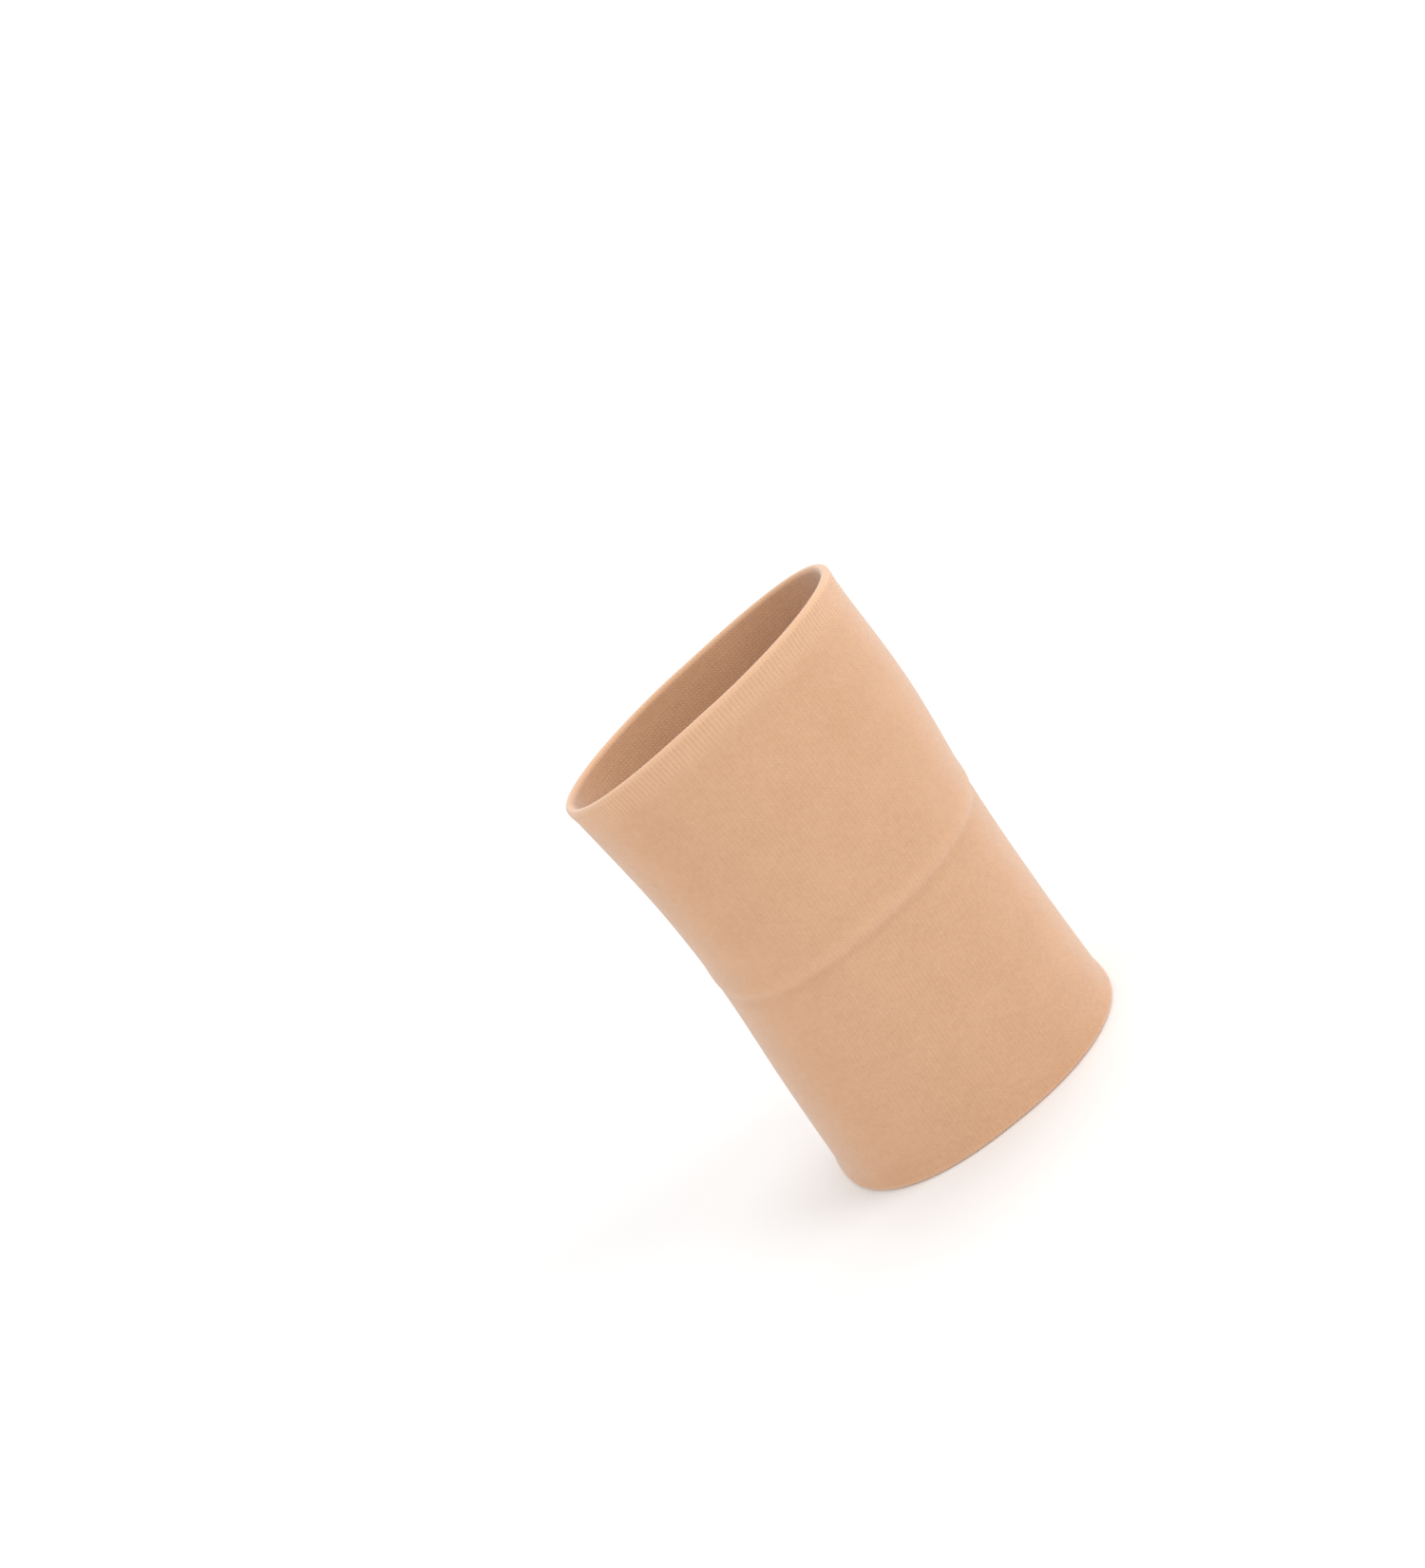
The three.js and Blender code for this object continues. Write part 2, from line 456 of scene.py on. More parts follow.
class NodeSketch:
    """Adds nodes to a tree and joins them up.

    Attributes:
        tree: The tree.
    """

    def __init__(self, tree: bpy.types.NodeTree) -> None:
        """Starts on a tree."""
        self.tree = tree

    def add(self, kind: str, **settings: object) -> bpy.types.Node:
        """Adds a node and sets its properties.

        Args:
            kind: The node's type.
            **settings: Its properties, by name.

        Returns:
            The node.
        """
        node = self.tree.nodes.new(kind)
        for name, value in settings.items():
            setattr(node, name, value)
        return node

    def feed(self, socket: bpy.types.NodeSocket, value: object) -> None:
        """Joins a socket to another's output, or sets it to a plain value.

        Args:
            socket: The socket that is fed.
            value: The output to join it to, or its value.
        """
        if isinstance(value, bpy.types.NodeSocket):
            self.tree.links.new(value, socket)
        else:
            socket.default_value = value

    def math(self, operation: str, *values: object) -> bpy.types.NodeSocket:
        """Adds a Math node.

        Args:
            operation: What it works out.
            *values: Up to three sockets or numbers.

        Returns:
            The socket of the result.
        """
        node = self.add("ShaderNodeMath", operation=operation)
        for socket, value in zip(node.inputs, values):
            self.feed(socket, value)
        return node.outputs[0]

    def mix(self, share: object, first: object, second: object) -> bpy.types.NodeSocket:
        """Adds a node that mixes two colours.

        Args:
            share: How much of the second colour there is, 0 to 1.
            first: The first colour.
            second: The second colour.

        Returns:
            The socket of the mixed colour.
        """
        node = self.add("ShaderNodeMix", data_type="RGBA")
        self.feed(node.inputs["Factor"], share)
        colours = [socket for socket in node.inputs if socket.type == "RGBA"]
        for socket, value in zip(colours, (first, second)):
            self.feed(socket, (*value, 1.0) if isinstance(value, tuple) else value)
        return next(socket for socket in node.outputs if socket.type == "RGBA")

    def noise(self, coordinates: object, scale: object, detail: float) -> bpy.types.NodeSocket:
        """Adds a Noise Texture node.

        Args:
            coordinates: Where it is read.
            scale: Its scale.
            detail: How many finer layers it has.

        Returns:
            The socket of its value.
        """
        node = self.add("ShaderNodeTexNoise")
        self.feed(node.inputs["Vector"], coordinates)
        self.feed(node.inputs["Scale"], scale)
        self.feed(node.inputs["Detail"], detail)
        return node.outputs["Fac"]

    def bump(self, height: object, depth: float, strength: float) -> bpy.types.NodeSocket:
        """Adds a Bump node.

        Args:
            height: The height at each point.
            depth: The distance that a height of 1 stands for.
            strength: Strength of the effect.

        Returns:
            The socket of the normal.
        """
        node = self.add("ShaderNodeBump")
        self.feed(node.inputs["Height"], height)
        self.feed(node.inputs["Distance"], depth)
        self.feed(node.inputs["Strength"], strength)
        return node.outputs["Normal"]

    def group(self, tree: bpy.types.NodeTree, **inputs: object) -> bpy.types.Node:
        """Places a node group.

        Args:
            tree: The group.
            **inputs: Its inputs, by their labels in lower case.

        Returns:
            The node.
        """
        node = self.add("ShaderNodeGroup", node_tree=tree)
        for name, value in inputs.items():
            self.feed(node.inputs[name.replace("_", " ").title()], value)
        return node


class EffectGroup:
    """A shader node group with named inputs and outputs.

    Attributes:
        tree: The group.
        sketch: A sketch on it.
        source: The sockets that its inputs come out of.
        result: The sockets that its outputs go into.
    """

    def __init__(self, name: str, inputs: dict[str, object], outputs: Sequence[str]) -> None:
        """Makes the empty group.

        Args:
            name: The group's name.
            inputs: Each input's name and its first value: a number, or three for a vector.
            outputs: Names of the outputs, which are all values.
        """
        self.tree = bpy.data.node_groups.new(name, "ShaderNodeTree")
        for label, value in inputs.items():
            kind = "NodeSocketVector" if isinstance(value, tuple) else "NodeSocketFloat"
            socket = self.tree.interface.new_socket(label, in_out="INPUT", socket_type=kind)
            socket.default_value = value
        for label in outputs:
            self.tree.interface.new_socket(label, in_out="OUTPUT", socket_type="NodeSocketFloat")
        self.sketch = NodeSketch(self.tree)
        self.source = self.sketch.add("NodeGroupInput").outputs
        self.result = self.sketch.add("NodeGroupOutput").inputs


def knit_stitches() -> bpy.types.NodeTree:
    """Group that draws the loops of plain knitting from wale and course numbers.

    Across a wale, the distance from its middle runs from 0 to 1. A row of loops is bent
    into a V by adding that distance times the slope to the course number. The relief is
    a rounded yarn across the row, times a crown across the wale.

    Returns:
        The node group, with the outputs Relief and Gap.
    """
    effect = EffectGroup(
        "knit_stitches",
        {"Map": (0.0, 0.0, 0.0), "Slope": 0.6, "Groove": 0.7},
        ("Relief", "Gap"),
    )
    yarn_roundness, crown_flatness, yarn_height = 2.5, 4.0, 0.6
    s, source = effect.sketch, effect.source
    parts = s.add("ShaderNodeSeparateXYZ")
    s.feed(parts.inputs[0], source["Map"])
    wale, course = parts.outputs[0], parts.outputs[1]
    off = s.math("SUBTRACT", s.math("FRACT", wale), 0.5)
    off = s.math("MULTIPLY", s.math("ABSOLUTE", off), 2.0)
    row = s.math("MULTIPLY_ADD", off, source["Slope"], course)
    across = s.math("SUBTRACT", s.math("FRACT", row), 0.5)
    across = s.math("MULTIPLY", s.math("ABSOLUTE", across), 2.0)
    yarn = s.math("SUBTRACT", 1.0, s.math("POWER", across, yarn_roundness))
    dip = s.math("MULTIPLY", s.math("POWER", off, crown_flatness), source["Groove"])
    crown = s.math("SUBTRACT", 1.0, dip)
    raised = s.math("MULTIPLY_ADD", yarn, yarn_height, 1 - yarn_height)
    relief = s.math("MULTIPLY", crown, raised)
    s.feed(effect.result["Relief"], relief)
    s.feed(effect.result["Gap"], s.math("SUBTRACT", 1.0, relief))
    return effect.tree


def cloth_mottle() -> bpy.types.NodeTree:
    """Group of uneven dye and fibre flecks: noise at two sizes over Object coordinates.

    Returns:
        The node group, with the outputs Patches and Flecks.
    """
    effect = EffectGroup(
        "cloth_mottle",
        {"Place": (0.0, 0.0, 0.0), "Patch Scale": 150.0, "Fleck Scale": 1100.0},
        ("Patches", "Flecks"),
    )
    darkest, palest = 0.3, 0.7
    s, source = effect.sketch, effect.source
    patches = s.noise(source["Place"], source["Patch Scale"], detail=3.0)
    flecks = s.noise(source["Place"], source["Fleck Scale"], detail=2.0)
    for label, value in (("Patches", patches), ("Flecks", flecks)):
        ramp = s.add("ShaderNodeMapRange")
        s.feed(ramp.inputs["Value"], value)
        s.feed(ramp.inputs["From Min"], darkest)
        s.feed(ramp.inputs["From Max"], palest)
        s.feed(effect.result[label], ramp.outputs["Result"])
    return effect.tree


def fibre_fuzz() -> bpy.types.NodeTree:
    """Group of fine loose fibres: noise much finer than a loop.

    Returns:
        The node group, with the output Fuzz.
    """
    effect = EffectGroup("fibre_fuzz", {"Place": (0.0, 0.0, 0.0), "Scale": 5200.0}, ("Fuzz",))
    s, source = effect.sketch, effect.source
    s.feed(effect.result["Fuzz"], s.noise(source["Place"], source["Scale"], detail=1.0))
    return effect.tree


@dataclass(frozen=True)
class Effects:
    """The node groups that the finishes share, each built once.

    Attributes:
        stitches: The loops of the knitting.
        mottle: Uneven dye and fibre flecks.
        fuzz: Fine loose fibres.
    """

    stitches: bpy.types.NodeTree = field(default_factory=knit_stitches)
    mottle: bpy.types.NodeTree = field(default_factory=cloth_mottle)
    fuzz: bpy.types.NodeTree = field(default_factory=fibre_fuzz)


def new_material(name: str) -> tuple[bpy.types.Material, NodeSketch, bpy.types.Node]:
    """Makes a material with nodes.

    Args:
        name: The material's name.

    Returns:
        The material, a sketch on its tree and its shader node.
    """
    material = bpy.data.materials.new(name)
    material.use_nodes = True
    tree = material.node_tree
    return material, NodeSketch(tree), tree.nodes["Principled BSDF"]


@dataclass(frozen=True)
class KnitFinish:
    """Matt elastic knitting, right side out.

    Attributes:
        slot: The material's name.
        deep: Colour of the darker patches.
        pale: Colour of the lighter patches.
        rubbed: Colour of crests, where the yarn is stretched and rubbed.
        shade: Share of the deep colour that is left where shade is painted into gaps and ditches.
        slope: How far each row of loops is bent into a V.
        groove: How deep the grooves between wales are in the bump.
        fleck_share: How much of the rubbed colour the flecks take.
        rub_share: How much of it a crest takes.
        ditch_painted_shade: How much shade is painted into the ditch beside the ridge.
        gap_shade: How much shade is painted into the gaps between loops.
        relief: Height of the loops in the bump.
        fuzz_height: Height of the loose fibres, as a share of the loops'.
        bump: Strength of the bump.
        smoothest: Roughness between the loose fibres.
        fuzz_rough: How much rougher the fibres are.
        specular: Level of the plain reflection.
        sheen: Weight of the soft sheen of loose fibres.
        sheen_rough: How widely the sheen spreads.
        sheen_tint: Colour of the sheen.
    """

    slot: str
    deep: Colour = (0.61, 0.347, 0.2)
    pale: Colour = (0.638, 0.368, 0.217)
    rubbed: Colour = (0.8, 0.51, 0.325)
    shade: float = 0.45
    slope: float = 0.6
    groove: float = 0.7
    fleck_share: float = 0.2
    rub_share: float = 0.55
    ditch_painted_shade: float = 0.3
    gap_shade: float = 0.12
    relief: float = 0.08 * MM
    fuzz_height: float = 0.6
    bump: float = 0.8
    smoothest: float = 0.78
    fuzz_rough: float = 0.16
    specular: float = 0.2
    sheen: float = 0.62
    sheen_rough: float = 0.45
    sheen_tint: Colour = (1.0, 0.97, 0.94)

    def _colour(
        self, s: NodeSketch, mottle: bpy.types.Node, gap: bpy.types.NodeSocket
    ) -> bpy.types.NodeSocket:
        """Colour of the cloth: patches, flecks and crests, then painted shade in ditches and gaps.

        Args:
            s: The material's sketch.
            mottle: The node of patches and flecks.
            gap: How far into a gap between loops a point is.

        Returns:
            The colour.
        """
        crest = s.add("ShaderNodeAttribute", attribute_name=CREST_MASK).outputs["Fac"]
        # Painted shade: the deep colour darkened, mixed into the ditch and the gaps between loops.
        painted_shade_tone = tuple(self.shade * channel for channel in self.deep)
        colour = s.mix(mottle.outputs["Patches"], self.deep, self.pale)
        layers = (
            (mottle.outputs["Flecks"], self.fleck_share, self.rubbed),
            (crest, self.rub_share, self.rubbed),
            # Painted shade in the ditch, where the crest mask is below 0, and in the gaps between
            # loops.
            (crest, -self.ditch_painted_shade, painted_shade_tone),
            (gap, self.gap_shade, painted_shade_tone),
        )
        for mask, share, tone in layers:
            colour = s.mix(s.math("MULTIPLY", mask, share), colour, tone)
        return colour

    def material(self, effects: Effects) -> bpy.types.Material:
        """Builds the material.

        Args:
            effects: The shared node groups.

        Returns:
            The material, which reads the stitch map, the crest mask and Object
            coordinates.
        """
        material, s, shader = new_material(self.slot)
        loops = s.add("ShaderNodeUVMap", uv_map=STITCH_MAP).outputs["UV"]
        place = s.add("ShaderNodeTexCoord").outputs["Object"]
        knit = s.group(effects.stitches, map=loops, slope=self.slope, groove=self.groove)
        mottle = s.group(effects.mottle, place=place)
        fuzz = s.group(effects.fuzz, place=place).outputs["Fuzz"]
        height = s.math("MULTIPLY_ADD", fuzz, self.fuzz_height, knit.outputs["Relief"])
        values = {
            "Base Color": self._colour(s, mottle, knit.outputs["Gap"]),
            "Roughness": s.math("MULTIPLY_ADD", fuzz, self.fuzz_rough, self.smoothest),
            "Normal": s.bump(height, self.relief, self.bump),
            "Specular IOR Level": self.specular,
            "Sheen Weight": self.sheen,
            "Sheen Roughness": self.sheen_rough,
            "Sheen Tint": (*self.sheen_tint, 1.0),
        }
        for name, value in values.items():
            s.feed(shader.inputs[name], value)
        return material


@dataclass(frozen=True)
class ThreadFinish:
    """Soft two-ply textured sewing thread.

    Attributes:
        slot: The material's name.
        valley_shade: Darker colour painted between the plies, as painted shade.
        ply: Colour on a ply.
        fleck_scale: Scale of the flecks' noise.
        fleck_share: How much of the painted shade colour between the plies the flecks take.
        fuzz_scale: Scale of the loose fibres' noise.
        fuzz_height: Height of the loose fibres in the bump.
        bump: Strength of the bump.
        smoothest: Roughness between the loose fibres.
        fuzz_rough: How much rougher the fibres are.
        specular: Level of the plain reflection.
        sheen: Weight of the soft sheen.
    """

    slot: str
    valley_shade: Colour = (0.55, 0.35, 0.23)
    ply: Colour = (0.83, 0.64, 0.48)
    fleck_scale: float = 2600.0
    fleck_share: float = 0.25
    fuzz_scale: float = 9000.0
    fuzz_height: float = 0.04 * MM
    bump: float = 0.6
    smoothest: float = 0.6
    fuzz_rough: float = 0.2
    specular: float = 0.3
    sheen: float = 0.25

    def material(self, effects: Effects) -> bpy.types.Material:
        """Builds the material.

        The crest mask is 1 on a ply and 0 in the twisted groove between two plies, where
        shade is painted in the darker colour.

        Args:
            effects: The shared node groups.

        Returns:
            The material.
        """
        material, s, shader = new_material(self.slot)
        place = s.add("ShaderNodeTexCoord").outputs["Object"]
        crest = s.add("ShaderNodeAttribute", attribute_name=CREST_MASK).outputs["Fac"]
        mottle = s.group(effects.mottle, place=place, fleck_scale=self.fleck_scale)
        fuzz = s.group(effects.fuzz, place=place, scale=self.fuzz_scale).outputs["Fuzz"]
        fleck = s.math("MULTIPLY", mottle.outputs["Flecks"], self.fleck_share)
        values = {
            # Painted shade: the twisted groove between the plies is coloured darker.
            "Base Color": s.mix(fleck, s.mix(crest, self.valley_shade, self.ply), self.valley_shade),
            "Roughness": s.math("MULTIPLY_ADD", fuzz, self.fuzz_rough, self.smoothest),
            "Normal": s.bump(fuzz, self.fuzz_height, self.bump),
            "Specular IOR Level": self.specular,
            "Sheen Weight": self.sheen,
        }
        for name, value in values.items():
            s.feed(shader.inputs[name], value)
        return material


Finish = KnitFinish | ThreadFinish

OUTER_FINISH = KnitFinish("outer_knit")
LINING_FINISH = KnitFinish("lining_knit", relief=0.1 * MM, gap_shade=0.16)
THREAD_FINISH = ThreadFinish("sewing_thread")


class Dresser:
    """Gives pieces their finishes and says what they stand for.

    Attributes:
        effects: The shared node groups.
        made: The materials made so far, by slot.
    """

    def __init__(self) -> None:
        """Builds the shared node groups."""
        self.effects = Effects()
        self.made: dict[str, bpy.types.Material] = {}

    def dress(self, piece: bpy.types.Object, finish: Finish, stands_for: Sequence[str]) -> None:
        """Puts a finish on a piece and hides the CAD nodes that it stands for.

        Args:
            piece: The piece.
            finish: Its finish.
            stands_for: Names of the CAD nodes that it replaces.
        """
        if finish.slot not in self.made:
            self.made[finish.slot] = finish.material(self.effects)
        piece.data.materials.append(self.made[finish.slot])
        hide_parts(*stands_for)
        triangles = 2 * len(piece.data.polygons)
        LOG.info("%s: %d triangles, for %s", piece.name, triangles, ", ".join(stands_for))


@dataclass(frozen=True)
class ClothLayers:
    """The two layers of the doubled tube, as distances outward from the skin side.

    Attributes:
        thickness: Thickness of one layer.
        lining_middle: Middle of the lining.
        outer_middle: Middle of the outer layer.
        forearm_fold: Distance along the sleeve at which the forearm rim's fold starts.
        hand_fold: Distance along the sleeve at which the hand rim's fold starts.
        relaxed_round: Length round the tube before it is stretched on.
        forearm_lining: Length of the lining's forearm half, cut flat.
        hand_lining: Length of its hand half.
    """

    thickness: float = 0.62 * MM
    lining_middle: float = 0.31 * MM
    outer_middle: float = 1.09 * MM
    forearm_fold: float = 3.2 * MM
    hand_fold: float = 84.2 * MM
    relaxed_round: float = 132 * MM
    forearm_lining: float = 43.1 * MM
    hand_lining: float = 36.6 * MM


@dataclass
class OuterTube:
    """The outer layer, with the ridge that the seam pushes up under it.

    Attributes:
        cutter: Cuts strips of cloth.
        layers: The layers' places.
        seam_at: Distance along the sleeve of the seam.
        ridge_height: Height of the ridge where it stands proudest.
        ridge_fall: Width of the ridge's bell curve towards the forearm.
        ridge_rise: Its width towards the hand, where the slope is gentler.
        ditch_at: Distance from the seam back to the ditch along the ridge.
        ditch_depth: Depth of the ditch.
        ditch_width: Width of the ditch's bell curve, in its depth and in its painted shade.
        wander: How far the ridge's line wanders either way.
        press_mean: Mean share of its height at which the ridge stands.
        press_oval: How much less it is at the two tight sides, and more between them.
        press_turn: How much more it is on one side of the wrist.
        press_side: Angle of that side, in radians.
        rub_at: Distance from the seam on to the middle of the rubbed band.
        rub_width: Width of the rubbed band's bell curve.
        rub: Crest mask on the rubbed band, and below 0 in the ditch, where shade is painted.
        row_counts: Rows of points in the stretches below.
        row_ends: The stretches' ends, closer rows being wanted at the ridge and rim.
        back_rows: Rows of points on the hidden face.
    """

    cutter: ClothCutter
    layers: ClothLayers
    seam_at: float = 46.6 * MM
    ridge_height: float = 0.45 * MM
    ridge_fall: float = 0.85 * MM
    ridge_rise: float = 1.4 * MM
    ditch_at: float = 2.0 * MM
    ditch_depth: float = 0.12 * MM
    ditch_width: float = 0.65 * MM
    wander: float = 0.12 * MM
    press_mean: float = 0.66
    press_oval: float = 0.26
    press_turn: float = 0.08
    press_side: float = 5.2
    rub_at: float = 0.3 * MM
    rub_width: float = 1.1 * MM
    rub: float = 0.4
    row_counts: tuple[int, ...] = (20, 26, 16, 12)
    row_ends: tuple[float, ...] = (3.2 * MM, 43.5 * MM, 52 * MM, 79 * MM, 84.2 * MM)
    back_rows: int = 44

    def _pressed(self, share: np.ndarray) -> np.ndarray:
        """How proud the ridge stands: cosines, lowest where the wrist curves tightest.

        Args:
            share: Shares of the way round.

        Returns:
            Shares of the ridge's height, shaped (round, 1).
        """
        turn = 2 * np.pi * share[:, None]
        sided = self.press_turn * np.cos(turn - self.press_side)
        return self.press_mean - self.press_oval * np.cos(2 * turn) + sided

    def _ridge(self, share: np.ndarray, along: np.ndarray) -> np.ndarray:
        """Height of the ridge.

        A bell curve along the sleeve, wider on its hand side, less a smaller one for the
        ditch on its forearm side, both about a line that wanders a little in slow sines.

        Args:
            share: Shares of the way round.
            along: Distances along the sleeve.

        Returns:
            The height at each share and distance.
        """
        turn = 2 * np.pi * share[:, None]
        past = along - self.seam_at + self.wander * np.sin(7 * turn) * np.sin(2 * turn + 1)
        width = np.where(past < 0, self.ridge_fall, self.ridge_rise)
        ditch = self.ditch_depth * bell(-self.ditch_at, self.ditch_width, past)
        return self._pressed(share) * (self.ridge_height * bell(0, width, past) - ditch)

    def _rows(self) -> np.ndarray:
        """Rows of points on the outside, evenly spaced in each stretch.

        Returns:
            Their distances along the sleeve.
        """
        spans = zip(self.row_ends, self.row_ends[1:], self.row_counts)
        rows = [np.linspace(low, high, count, endpoint=False) for low, high, count in spans]
        return np.append(np.concatenate(rows), self.row_ends[-1])

    def build(self) -> bpy.types.Object:
        """Makes the tube, with its wales in relief.

        The relief is the ridge, and on the outside also the wales' cosine times a depth
        that grows towards the hand rim, where each strained wale shows as a paler stroke.

        Returns:
            The piece.
        """
        gauge, form = self.cutter.gauge, self.cutter.form
        along = self._rows()
        share = gauge.round_shares(gauge.samples)
        strain = smoothstep(self.layers.hand_fold - gauge.rim_reach, self.layers.hand_fold, along)
        depth = gauge.plain_depth + (gauge.rim_depth - gauge.plain_depth) * strain
        rubbed = bell(self.seam_at + self.rub_at, self.rub_width, along)
        # Painted shade: the ditch's bell curve takes the crest mask below 0, which darkens the
        # colour there.
        ditch_shade_paint = bell(self.seam_at - self.ditch_at, self.ditch_width, along)
        crest = self.rub * self._pressed(share) * (rubbed - ditch_shade_paint)
        crest = crest + strain * gauge.strokes(share)[:, None]
        middle = self.layers.outer_middle
        relief = self._ridge(share, along) + depth * gauge.ribs(share)[:, None]
        outside = Face(level_path(along, middle), relief, crest)
        back = np.linspace(along[0], along[-1], self.back_rows)
        hidden = Face(level_path(back, middle), -self._ridge(share, back))
        ring = self.cutter.strip(
            outside,
            hidden,
            self.layers.thickness,
            gauge.samples,
            along[0] / gauge.course,
        )
        piece = ring.build("outer_fabric")
        start, end = form.centre(form.flex_start), form.centre(form.flex_end)
        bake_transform(piece)
        return piece


class Rim(Enum):
    """The sleeve's two rims."""

    FOREARM = "forearm"
    HAND = "hand"


@dataclass
class FoldedRim:
    """A rim: the tube turned back over itself, outer layer to lining.

    Attributes:
        cutter: Cuts strips of cloth.
        layers: The layers' places.
        rim: Which rim.
        height: Height of the fold, from its start to its crest.
        bulge_out: How far the roll stands out over the outer layer.
        bulge_in: How far it stands in over the lining.
        round_height: Height of the rounded part of the centreline.
        leg_points: Points up each leg of the fold, on the side that shows.
        arc_points: Points over its top there.
        hidden_points: The same two numbers on the hidden side.
        relief_fade: Shares of the height between which the wales' relief fades out.
        rub_rise: Shares of the height between which the rubbed colour comes in.
        forearm_grooves: Depth of the forearm rim's outer grooves, in plain depths.
    """

    cutter: ClothCutter
    layers: ClothLayers
    rim: Rim
    height: float = 3.2 * MM
    bulge_out: float = 0.2 * MM
    bulge_in: float = 0.05 * MM
    round_height: float = 0.5 * MM
    leg_points: int = 13
    arc_points: int = 15
    hidden_points: tuple[int, int] = (4, 6)
    relief_fade: tuple[float, float] = (0.7, 0.95)
    rub_rise: tuple[float, float] = (0.6, 0.9)
    forearm_grooves: float = 2

    def _path(self, leg_points: int, arc_points: int) -> np.ndarray:
        """Centreline: up the outer leg, over half an ellipse and down the inner leg.

        Each leg swells by its bulge times a smooth ramp. The forearm rim's path is the
        same one upside down and taken from its other end, so that its left side stays
        outside.

        Args:
            leg_points: Points up each leg.
            arc_points: Points over the top.

        Returns:
            The (along, outward) points.
        """
        leg_top = self.height - self.layers.thickness / 2 - self.round_height
        climb = np.linspace(0, leg_top, leg_points)
        swell = smoothstep(0, leg_top, climb)
        outer = self.layers.outer_middle + self.bulge_out * swell
        inner = self.layers.lining_middle - self.bulge_in * swell
        turn = np.linspace(0, np.pi, arc_points)[1:-1]
        middle, half = (outer[-1] + inner[-1]) / 2, (outer[-1] - inner[-1]) / 2
        over = leg_top + self.round_height * np.sin(turn)
        climbs = np.concatenate([climb, over, climb[::-1]])
        outward = np.concatenate([outer, middle + half * np.cos(turn), inner[::-1]])
        if self.rim is Rim.HAND:
            return np.stack([self.layers.hand_fold + climbs, outward], -1)
        return np.stack([self.layers.forearm_fold - climbs, outward], -1)[::-1]

    def _rise(self, path: np.ndarray) -> np.ndarray:
        """How far up the fold each point of a path is.

        Args:
            path: The (along, outward) points.

        Returns:
            Shares of the fold's height.
        """
        hand = self.rim is Rim.HAND
        start = self.layers.hand_fold if hand else self.layers.forearm_fold
        return np.abs(path[:, 0] - start) / self.height

    def build(self) -> bpy.types.Object:
        """Makes the fold, its wales strained at the hand rim.

        Returns:
            The piece, which rides on its own end of the sleeve.
        """
        gauge = self.cutter.gauge
        share = gauge.round_shares(gauge.samples)
        path = self._path(self.leg_points, self.arc_points)
        rise = self._rise(path)
        hand = self.rim is Rim.HAND
        outer_side = smoothstep(self.layers.lining_middle, self.layers.outer_middle, path[:, 1])
        deep = gauge.rim_depth if hand else self.forearm_grooves * gauge.plain_depth
        depth = gauge.plain_depth + (deep - gauge.plain_depth) * outer_side
        legs = 1 - smoothstep(*self.relief_fade, rise)
        crest = smoothstep(*self.rub_rise, rise)
        if hand:
            crest = crest + gauge.strokes(share)[:, None] * outer_side * legs
        visible = Face(path, depth * legs * gauge.ribs(share)[:, None], crest)
        hidden = Face(self._path(*self.hidden_points))
        ring = self.cutter.strip(visible, hidden, self.layers.thickness, gauge.samples)
        piece = ring.build(f"{self.rim.value}_rim_fold")
        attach(piece, HAND_BODY if hand else FOREARM_BODY)
        return piece


@dataclass
class Lining:
    """One half of the lining, between a rim's fold and the inside seam.

    Attributes:
        cutter: Cuts strips of cloth.
        layers: The layers' places.
        rim: The rim that this half comes from.
        forearm_end: Where the forearm half turns in at the seam.
        hand_start: Where the hand half comes out of the seam.
        samples: Points round the sleeve for each wale.
        row_pitch: Height between the rows of points on the skin side.
        back_rows: Rows of points on the hidden face.
    """

    cutter: ClothCutter
    layers: ClothLayers
    rim: Rim
    forearm_end: float = 46.3 * MM
    hand_start: float = 47.6 * MM
    samples: int = 2
    row_pitch: float = 0.8 * MM
    back_rows: int = 12

    def build(self) -> bpy.types.Object:
        """Makes the half lining.

        Returns:
            The piece: the forearm half rides on the forearm.
        """
        gauge, form = self.cutter.gauge, self.cutter.form
        hand = self.rim is Rim.HAND
        low = self.hand_start if hand else self.layers.forearm_fold
        high = self.layers.hand_fold if hand else self.forearm_end
        rows = int((high - low) / self.row_pitch)
        share = gauge.round_shares(self.samples)
        back, skin_side = (
            level_path(np.linspace(low, high, count), self.layers.lining_middle)
            for count in (self.back_rows, rows)
        )
        ring = self.cutter.strip(
            Face(back),
            Face(skin_side, gauge.plain_depth * gauge.ribs(share)[:, None]),
            self.layers.thickness,
            self.samples,
            low / gauge.course,
        )
        piece = ring.build(f"lining_{self.rim.value}_half")
        if hand:
            start, end = form.centre(form.flex_start), form.centre(form.flex_end)
            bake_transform(piece)
        else:
            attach(piece, FOREARM_BODY)
        return piece


